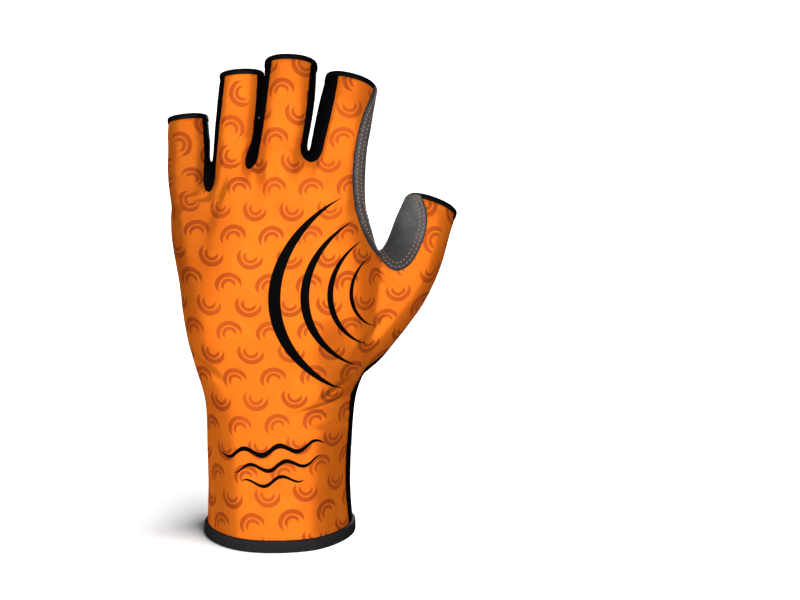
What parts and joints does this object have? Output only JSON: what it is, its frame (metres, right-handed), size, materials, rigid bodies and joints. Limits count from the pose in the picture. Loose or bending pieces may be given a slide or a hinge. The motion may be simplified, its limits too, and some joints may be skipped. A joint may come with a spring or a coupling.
{
  "type": "fishing glove",
  "caption": "Fingerless left-hand fishing glove with a long cuff, orange printed back, black stretch palm and grey suede patches, open fingertips bound with black tape.",
  "frame": {"origin": "middle of the cuff's mouth, on the plane of its lower edge", "axes": "+Z from the cuff to the fingertips, +X to the thumb side, -Y out of the back of the hand, +Y out of the palm"},
  "size_m": [0.1347, 0.0626, 0.2279],
  "materials": {
    "printed_jersey": "thin stretch jersey, orange with a tonal darker orange print and black printed lines, soft sheen",
    "plain_jersey": "thin stretch jersey, plain orange",
    "black_stretch": "matte black four-way stretch knit",
    "grey_suede": "brushed synthetic suede, mottled mid grey",
    "black_tape": "folded elastic tape, black",
    "dark_hem": "turned and top-stitched stretch hem, very dark grey"
  },
  "bodies": {
    "root": {"back_panel": "printed_jersey", "palm_panel": "black_stretch", "suede_palm_panel": "grey_suede", "plain_palm_panel": "plain_jersey", "finger_strip_index_middle": "black_stretch", "finger_strip_middle_ring": "black_stretch", "finger_strip_ring_little": "black_stretch", "thenar_patch": "grey_suede", "crotch_patch": "grey_suede", "tip_tape_little": "black_tape", "tip_tape_ring": "black_tape", "tip_tape_middle": "black_tape", "tip_tape_index": "black_tape", "tip_tape_thumb": "black_tape", "cuff_hem": "dark_hem"}
  },
  "joints": []
}
